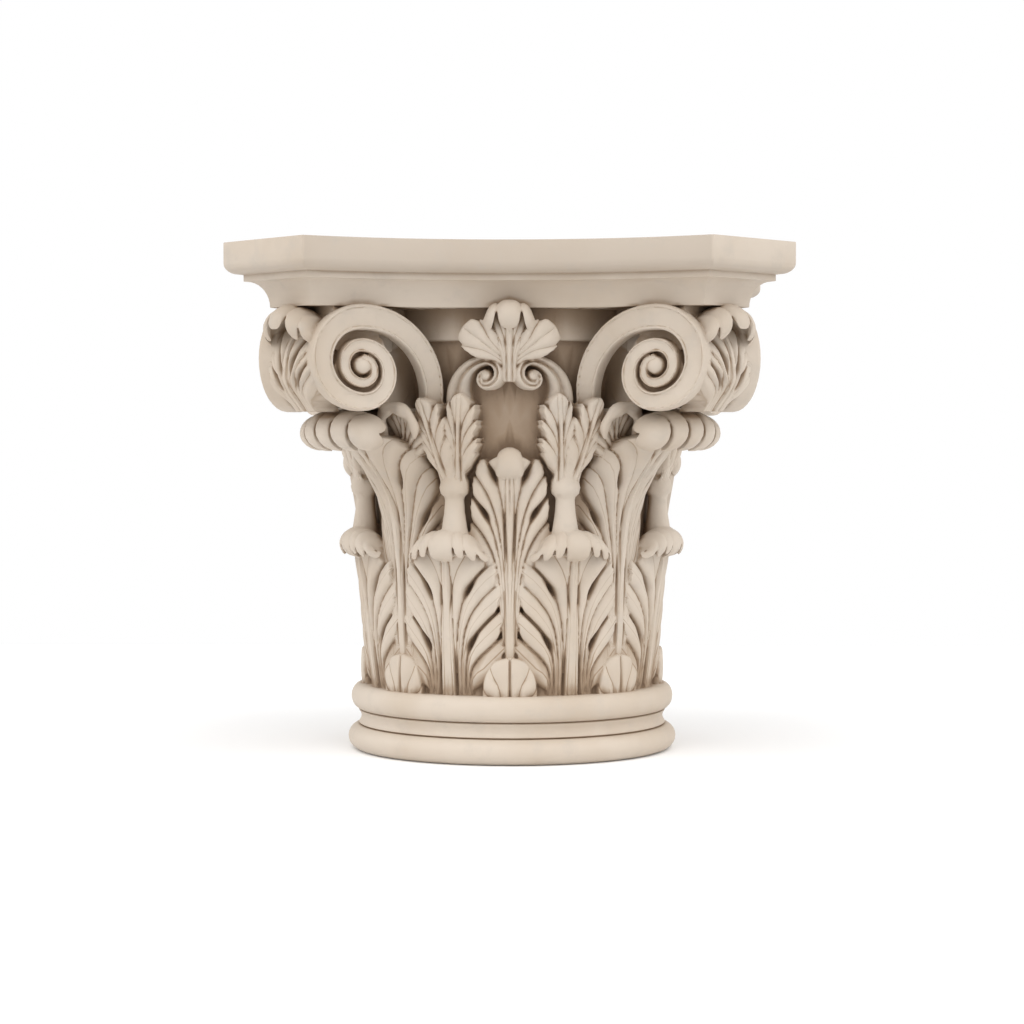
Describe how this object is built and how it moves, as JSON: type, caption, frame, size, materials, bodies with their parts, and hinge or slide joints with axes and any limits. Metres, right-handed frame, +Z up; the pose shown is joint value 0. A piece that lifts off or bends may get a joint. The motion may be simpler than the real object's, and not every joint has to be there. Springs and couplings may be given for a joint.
{
  "type": "corinthian capital",
  "caption": "Carved stone column capital with two tiers of acanthus leaves, corner volutes, a fleuron on each side and a concave-sided abacus on a moulded round foot.",
  "frame": {"origin": "centre of the round bottom bed", "axes": "+Z up the column's axis, -Y towards the front side of the abacus, +X to the right of that side"},
  "size_m": [0.528, 0.528, 0.488],
  "materials": {
    "stone": "matte"
  },
  "bodies": {
    "root": {"corinthian_capital": "stone"}
  },
  "joints": []
}
